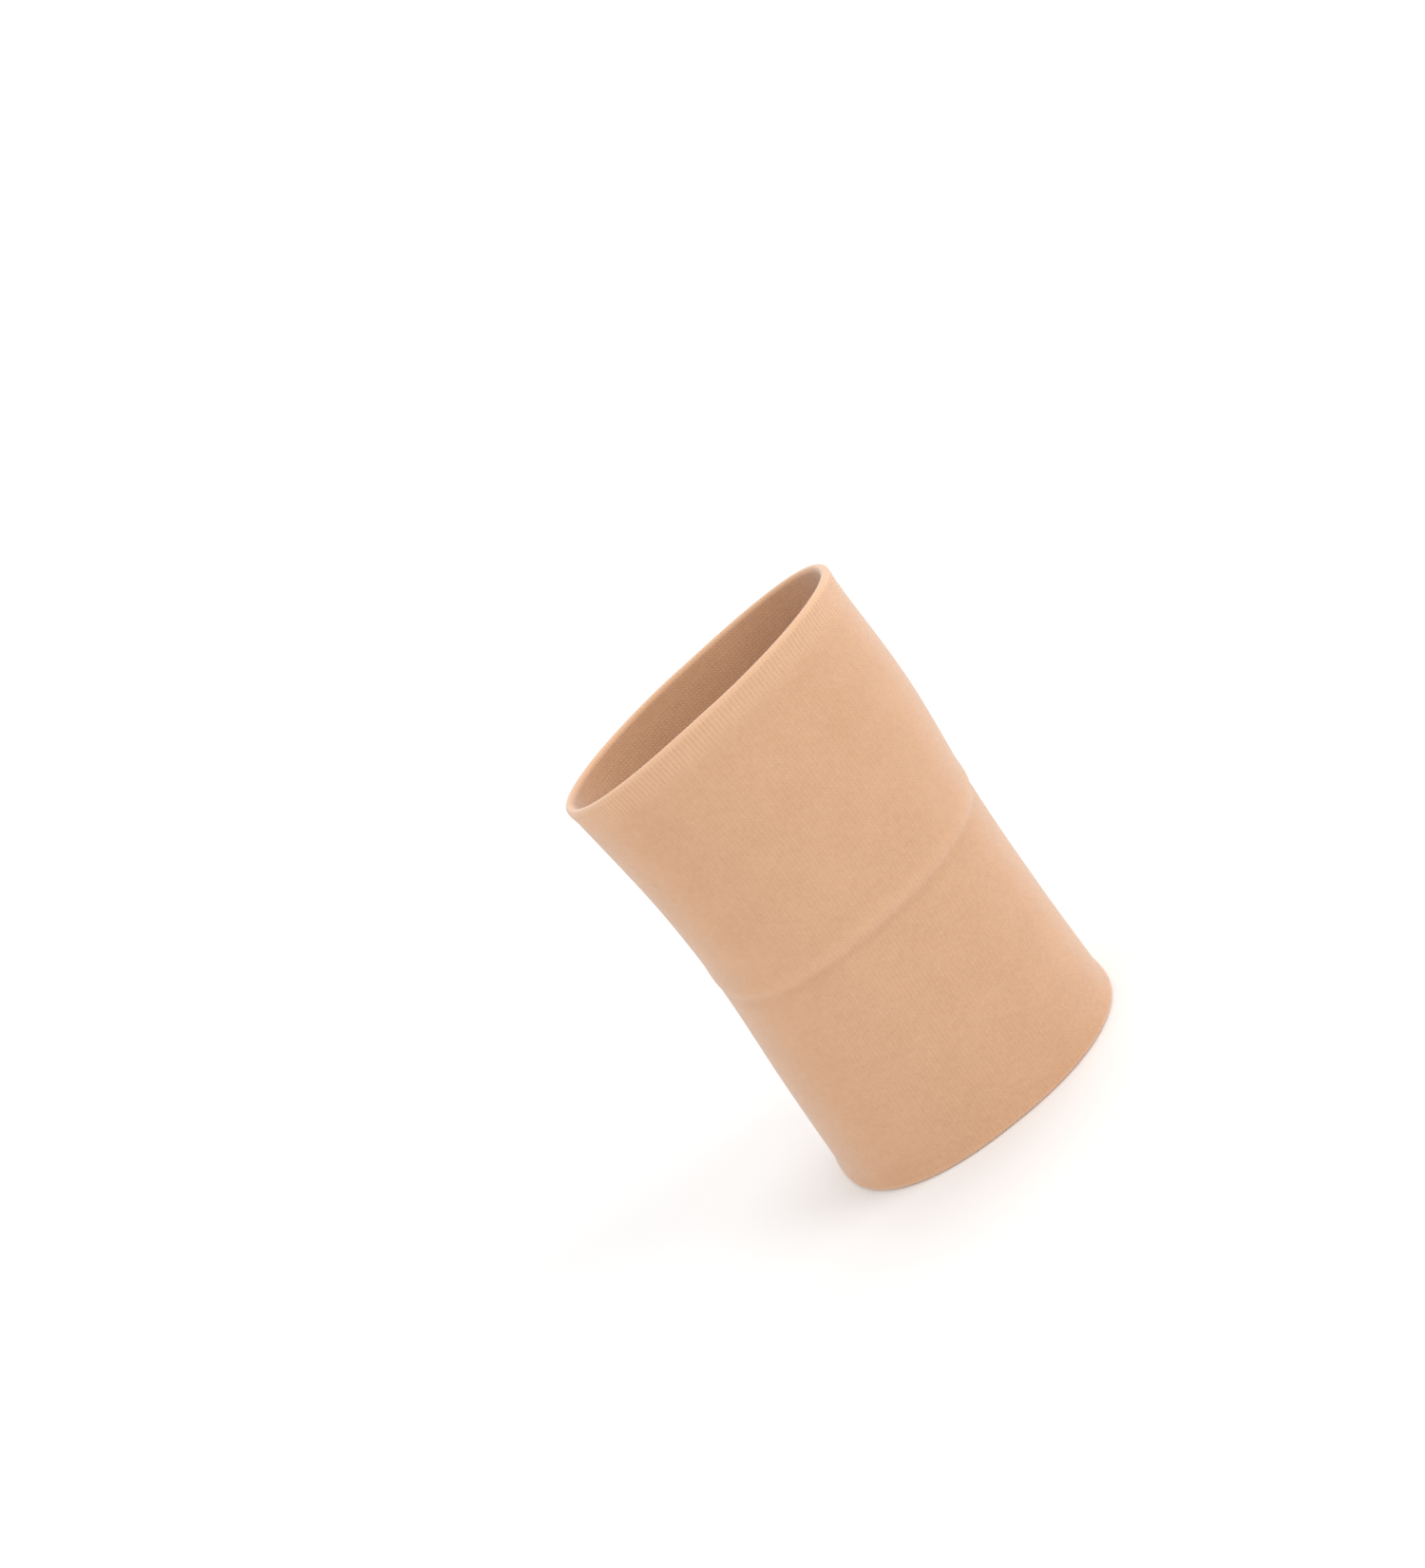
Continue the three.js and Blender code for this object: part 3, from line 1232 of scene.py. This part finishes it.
@dataclass
class JoinSeam:
    """The inside seam: two turned-in lips of cloth, overlocked together.

    Attributes:
        cutter: Cuts strips of cloth.
        at: Distance along the sleeve of the line of needle stitches.
        lip_length: Distance from that line to the lips' cut edges.
        lip_thickness: Thickness of a lip, flattened by the thread.
        forearm_lip: Middle of the forearm lip, outward from the skin side.
        hand_lip: Middle of the hand lip, outward from the skin side.
        stitches: Overlock stitches round the sleeve.
        thread_radius: Radius of a thread.
        twist_length: Length of thread in which its plies turn once.
        ply_swell: How much a ply swells the thread, as a share of its radius.
        pinch: How deep the threads pull into the lips.
        frayed: Width of the soft part at the lips' cut edges.
        forearm_turn: Distance from the needle line back to the forearm lip's fold.
        hand_turn: Distance from the line on to the middle of the hand lip's fold.
        hand_bend: Radius of that fold.
        hand_root: Where the hand lip meets the lining, outward from the skin side.
        samples: Points round the sleeve for each wale of a lip.
        flat_points: Points along the flat part of a lip.
        bend_points: Points round the hand lip's fold.
        root_points: Points from there to its root.
        thread_sides: Points round a thread.
        needle_points: Points along the needle thread for each stitch.
        needle_back: Distance from the needle line back to the thread's middle.
        needle_sway: How far it sways along the sleeve, either way.
        needle_middle: Its middle, outward from the skin side.
        needle_dip: How far it dips, either way.
        looper_points: Points along a looper thread for each stitch.
        looper_near: Distance from the needle line back to the bars' near ends.
        looper_clear: Gap between the lips' cut edges and the thread.
        looper_under: How far under the forearm lip's middle the thread wraps.
        looper_wrap: How far back from the edge, and how deep, it starts to turn.
        looper_slant: How far a bar leans round the sleeve, in stitches.
    """

    cutter: ClothCutter
    at: float = 46.6 * MM
    lip_length: float = 3.3 * MM
    lip_thickness: float = 0.5 * MM
    forearm_lip: float = -0.37 * MM
    hand_lip: float = -0.99 * MM
    stitches: int = 64
    thread_radius: float = 0.125 * MM
    twist_length: float = 0.9 * MM
    ply_swell: float = 0.14
    pinch: float = 0.05 * MM
    frayed: float = 0.5 * MM
    forearm_turn: float = 0.3 * MM
    hand_turn: float = 0.65 * MM
    hand_bend: float = 0.5 * MM
    hand_root: float = 0.5 * MM
    samples: int = 2
    flat_points: int = 10
    bend_points: int = 9
    root_points: int = 6
    thread_sides: int = 8
    needle_points: int = 20
    needle_back: float = 0.02 * MM
    needle_sway: float = 0.05 * MM
    needle_middle: float = 0.1 * MM
    needle_dip: float = 0.22 * MM
    looper_points: int = 30
    looper_near: float = 1.1 * MM
    looper_clear: float = 0.02 * MM
    looper_under: float = 0.1 * MM
    looper_wrap: tuple[float, float] = (0.25 * MM, 0.2 * MM)
    looper_slant: float = 0.3

    def _scallops(self, share: np.ndarray) -> np.ndarray:
        """Swell of the cloth between two stitches: a cosine, once for each stitch."""
        return self.pinch * (np.cos(2 * np.pi * self.stitches * share) - 1) / 2

    def _lip(self, name: str, path: np.ndarray) -> bpy.types.Object:
        """Lip of cloth, pinched by the stitches on its skin side.

        Args:
            name: The piece's name.
            path: The lip's middle as (along, outward) points, from its cut edge.

        Returns:
            The piece.
        """
        share = self.cutter.gauge.round_shares(self.samples)
        frayed = bell(self.at - self.lip_length, self.frayed, path[:, 0])
        skin_side = Face(path, self._scallops(share)[:, None], frayed)
        ring = self.cutter.strip(Face(path), skin_side, self.lip_thickness, self.samples)
        return ring.build(name)

    def forearm_lip_piece(self) -> bpy.types.Object:
        """The lip of the lining's forearm half, flat against the lining.

        Returns:
            The piece.
        """
        edge, turned = self.at - self.lip_length, self.at - self.forearm_turn
        along = np.linspace(edge, turned, self.flat_points)
        return self._lip("seam_lip_forearm", level_path(along, self.forearm_lip))

    def hand_lip_piece(self) -> bpy.types.Object:
        """The lip of the lining's hand half, which turns in over the needle thread.

        Its path runs flat from the cut edge, turns outward on a quarter circle and ends
        straight, where the lining starts.

        Returns:
            The piece.
        """
        bend = self.hand_bend
        turned = self.at + self.hand_turn
        flat = np.linspace(self.at - self.lip_length, turned - bend, self.flat_points)[:-1]
        turn = np.linspace(0, np.pi / 2, self.bend_points)
        root = np.linspace(self.hand_lip + bend, self.hand_root, self.root_points)[1:]
        along = np.concatenate(
            [flat, turned - bend + bend * np.sin(turn), np.full(len(root), turned)]
        )
        outward = np.concatenate(
            [np.full(len(flat), self.hand_lip), self.hand_lip + bend * (1 - np.cos(turn)), root]
        )
        return self._lip("seam_lip_hand", np.stack([along, outward], -1))

    def _thread(
        self, name: str, share: np.ndarray, along: np.ndarray, outward: np.ndarray
    ) -> bpy.types.Object:
        """Two-ply thread round a closed path.

        A circle is carried along the path, square to it and turned to face outward. Its
        radius swells and shrinks by the cosine of twice the angle round the thread less
        the twist, which makes two plies.

        Args:
            name: The piece's name.
            share: Shares of the way round the sleeve of the path's points.
            along: Their distances along the sleeve.
            outward: Their distances outward from the skin side.

        Returns:
            The piece.
        """
        form = self.cutter.form
        path = form.place(share, along, outward)
        out = form.place(share, along, outward + MM) - path
        forward = np.roll(path, -1, 0) - np.roll(path, 1, 0)
        run = np.concatenate(([0.0], np.cumsum(np.linalg.norm(np.diff(path, axis=0), axis=1))))
        forward /= np.linalg.norm(forward, axis=1, keepdims=True)
        side = np.cross(forward, out)
        side /= np.linalg.norm(side, axis=1, keepdims=True)
        out = np.cross(side, forward)
        turn = np.linspace(0, 2 * np.pi, self.thread_sides, endpoint=False)
        twists = round(run[-1] / self.twist_length)
        twist = np.pi * twists * (run / (run[-1] * (1 + 1 / len(run))))[:, None]
        ply = np.cos(2 * (turn - twist))
        reach = (self.thread_radius * (1 + self.ply_swell * ply))[..., None]
        circle = side[:, None] * np.cos(turn)[:, None] - out[:, None] * np.sin(turn)[:, None]
        points = path[:, None] + reach * circle
        lengthwise = np.append(run, run[-1]) / MM
        grid = np.meshgrid(lengthwise, np.arange(len(turn) + 1.0), indexing="ij")
        return Ring(points, np.stack(grid, -1), (1 + ply) / 2).build(name)

    def needle_thread_piece(self) -> bpy.types.Object:
        """The needle thread: short stitches that dip into the ditch between the halves.

        Returns:
            The piece.
        """
        points = self.stitches * self.needle_points
        share = np.arange(points) / points
        beat = 2 * np.pi * self.stitches * share
        along = self.at - self.needle_back + self.needle_sway * np.sin(beat)
        outward = self.needle_middle + self.needle_dip * np.cos(beat)
        return self._thread("seam_needle_thread", share, along, outward)

    def looper_thread_piece(
        self, name: str, ahead: float = 0.0, on_top: float = 0.0
    ) -> bpy.types.Object:
        """A looper thread: slanting bars over the lips that wrap round their cut edges.

        Each stitch goes from the needle line over the skin side to the cut edge, dips
        round the edge and comes back. The ways are straight lines between a few corners,
        rounded by a running mean. The two looper threads are half a stitch apart, so
        their bars cross.

        Args:
            name: The piece's name.
            ahead: How far round it is moved, in stitches.
            on_top: How far it lies towards the skin from the lips.

        Returns:
            The piece.
        """
        over = self.hand_lip - self.lip_thickness / 2 - self.thread_radius - on_top
        edge = self.at - self.lip_length - self.thread_radius - self.looper_clear
        near = self.at - self.looper_near
        under = self.forearm_lip - self.looper_under
        before_edge, past_top = edge + self.looper_wrap[0], over + self.looper_wrap[1]
        corners = np.array(
            [
                (0.00, near, over),
                (0.10, near, over),
                (0.36, before_edge, over),
                (0.42, edge, past_top),
                (0.48, edge, under),
                (0.60, edge, under),
                (0.66, edge, past_top),
                (0.72, before_edge, over),
                (0.95, near, over),
            ]
        )
        beat = np.arange(self.stitches * self.looper_points) / self.looper_points
        phase = beat % 1
        closed = np.vstack([corners, corners[0] + (1, 0, 0)])
        along = np.interp(phase, closed[:, 0], closed[:, 1])
        outward = np.interp(phase, closed[:, 0], closed[:, 2])
        soften = [np.roll(along, s) for s in (-1, 0, 1)], [np.roll(outward, s) for s in (-1, 0, 1)]
        along, outward = (np.mean(group, axis=0) for group in soften)
        lean = self.looper_slant * np.sin(2 * np.pi * phase) / (2 * np.pi)
        share = ((beat + lean + ahead) / self.stitches) % 1
        return self._thread(name, share, along, outward)


@dataclass(frozen=True)
class Lamp:
    """A square soft light that faces the sleeve.

    Attributes:
        name: The light's name.
        place: Where it stands.
        size: Length of its side.
        watts: Its power.
    """

    name: str
    place: tuple[float, float, float]
    size: float
    watts: float


@dataclass(frozen=True)
class Studio:
    """Floor, lights and camera.

    Attributes:
        elevation: How far above the horizon the camera is, in degrees.
        roll: How far the camera is rolled, in degrees.
        distance: Distance from the camera to the plane that it aims at.
        aim: The point that is in the middle of the picture.
        frame_height: Height that the picture covers at that distance.
        clip: The nearest and the farthest distance that the camera sees.
        floor_size: Length of the floor's side.
        floor_tone: Grey level of the floor.
        floor_rough: Roughness of the floor.
        floor_specular: Level of its plain reflection.
        sky: Strength of the even white surround.
        lit_point: The point that the lamps face.
        lamps: The lamps.
    """

    elevation: float = 26.4
    roll: float = 38.8
    distance: float = 0.9
    aim: tuple[float, float, float] = (-0.00648, 0.00633, 0.06934)
    frame_height: float = 0.2607
    clip: tuple[float, float] = (0.05, 20)
    floor_size: float = 6.0
    floor_tone: float = 0.93
    floor_rough: float = 0.9
    floor_specular: float = 0.1
    sky: float = 0.72
    lit_point: tuple[float, float, float] = (0, 0, 0.045)
    lamps: tuple[Lamp, ...] = (
        Lamp("key_light", (1.2, -0.6, 0.95), 0.9, 9.5),
        Lamp("hand_side_light", (0.2, 0.5, 1.4), 0.8, 6.0),
        Lamp("fill_light", (-1.0, -0.8, 0.6), 1.2, 4.5),
        Lamp("edge_light", (1.2, 0.55, 0.5), 0.8, 3.0),
    )

    def camera(self) -> bpy.types.Object:
        """Makes the camera: it looks along +Y and down, rolled about its own line.

        Returns:
            The camera.
        """
        lift, roll = math.radians(self.elevation), math.radians(self.roll)
        level = Vector((1, 0, 0))
        upright = Vector((0, math.sin(lift), math.cos(lift)))
        view = Vector((0, math.cos(lift), -math.sin(lift)))
        right = level * math.cos(roll) - upright * math.sin(roll)
        up = level * math.sin(roll) + upright * math.cos(roll)
        data = bpy.data.cameras.new("camera")
        data.lens = data.sensor_width * self.distance / self.frame_height
        data.clip_start, data.clip_end = self.clip
        camera = put_in_scene("camera", data)
        turn = Matrix((right, up, -view)).transposed().to_4x4()
        camera.matrix_world = Matrix.Translation(Vector(self.aim) - view * self.distance) @ turn
        bpy.context.scene.camera = camera
        return camera

    def floor(self) -> bpy.types.Object:
        """Makes the pale floor at the height of the sleeve's base.

        Returns:
            The floor.
        """
        half = self.floor_size / 2
        mesh = bpy.data.meshes.new("floor")
        corners = [(-half, -half, 0), (half, -half, 0), (half, half, 0), (-half, half, 0)]
        mesh.from_pydata(corners, [], [(0, 1, 2, 3)])
        material, _, shader = new_material("pale_floor")
        tone = self.floor_tone
        shader.inputs["Base Color"].default_value = (tone, tone, tone, 1)
        shader.inputs["Roughness"].default_value = self.floor_rough
        shader.inputs["Specular IOR Level"].default_value = self.floor_specular
        mesh.materials.append(material)
        floor = put_in_scene("floor", mesh)
        return floor

    def light(self, lamp: Lamp) -> bpy.types.Object:
        """Makes a lamp's light, turned to face the sleeve.

        Args:
            lamp: The lamp.

        Returns:
            The light.
        """
        data = bpy.data.lights.new(lamp.name, "AREA")
        data.shape, data.size, data.energy = "SQUARE", lamp.size, lamp.watts
        light = put_in_scene(lamp.name, data)
        way = Vector(self.lit_point) - Vector(lamp.place)
        light.location = lamp.place
        light.rotation_mode = "QUATERNION"
        light.rotation_quaternion = way.to_track_quat("-Z", "Y")
        return light

    def surround(self) -> None:
        """Sets the even white surround."""
        world = bpy.data.worlds.new("surround")
        world.use_nodes = True
        backdrop = world.node_tree.nodes["Background"]
        backdrop.inputs["Color"].default_value = (1, 1, 1, 1)
        backdrop.inputs["Strength"].default_value = self.sky
        bpy.context.scene.world = world

    def build(self) -> None:
        """Sets up the whole studio."""
        bpy.context.scene.view_settings.view_transform = "Standard"
        self.camera()
        self.floor()
        self.surround()
        for lamp in self.lamps:
            self.light(lamp)


def main() -> None:
    """Builds the sleeve piece by piece, then the studio."""
    logging.basicConfig(level=logging.INFO, format="%(name)s: %(message)s")
    form, gauge, layers = SleeveForm(), KnitGauge(), ClothLayers()
    cutter = ClothCutter(form, gauge)
    dresser = Dresser()

    tube = OuterTube(cutter, layers).build()
    panels = ("outer_tube_forearm", "outer_tube_wrist", "outer_tube_hand")
    dresser.dress(tube, OUTER_FINISH, panels)
    hand_fold = FoldedRim(cutter, layers, Rim.HAND).build()
    dresser.dress(hand_fold, OUTER_FINISH, ("hand_fold",))
    forearm_fold = FoldedRim(cutter, layers, Rim.FOREARM, bulge_out=0.3 * MM).build()
    dresser.dress(forearm_fold, OUTER_FINISH, ("forearm_fold",))

    forearm_lining = Lining(cutter, layers, Rim.FOREARM).build()
    dresser.dress(forearm_lining, LINING_FINISH, ("lining_forearm",))
    hand_lining = Lining(cutter, layers, Rim.HAND).build()
    dresser.dress(hand_lining, LINING_FINISH, ("lining_wrist", "lining_hand"))

    seam = JoinSeam(cutter)
    lips = seam.forearm_lip_piece(), seam.hand_lip_piece()
    needle = seam.needle_thread_piece()
    loopers = (
        seam.looper_thread_piece("seam_looper_thread_lower"),
        seam.looper_thread_piece("seam_looper_thread_upper", ahead=0.5, on_top=0.11 * MM),
    )
    for lip, node in zip(lips, ("join_lip_forearm", "join_lip_hand")):
        dresser.dress(lip, LINING_FINISH, (node,))
    dresser.dress(needle, THREAD_FINISH, ("join_needle_thread",))
    for looper in loopers:
        dresser.dress(looper, THREAD_FINISH, ("join_looper_thread",))
    for piece in (*lips, needle, *loopers):
        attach(piece, FOREARM_BODY)

    Studio().build()


if __name__ == "__main__":
    main()
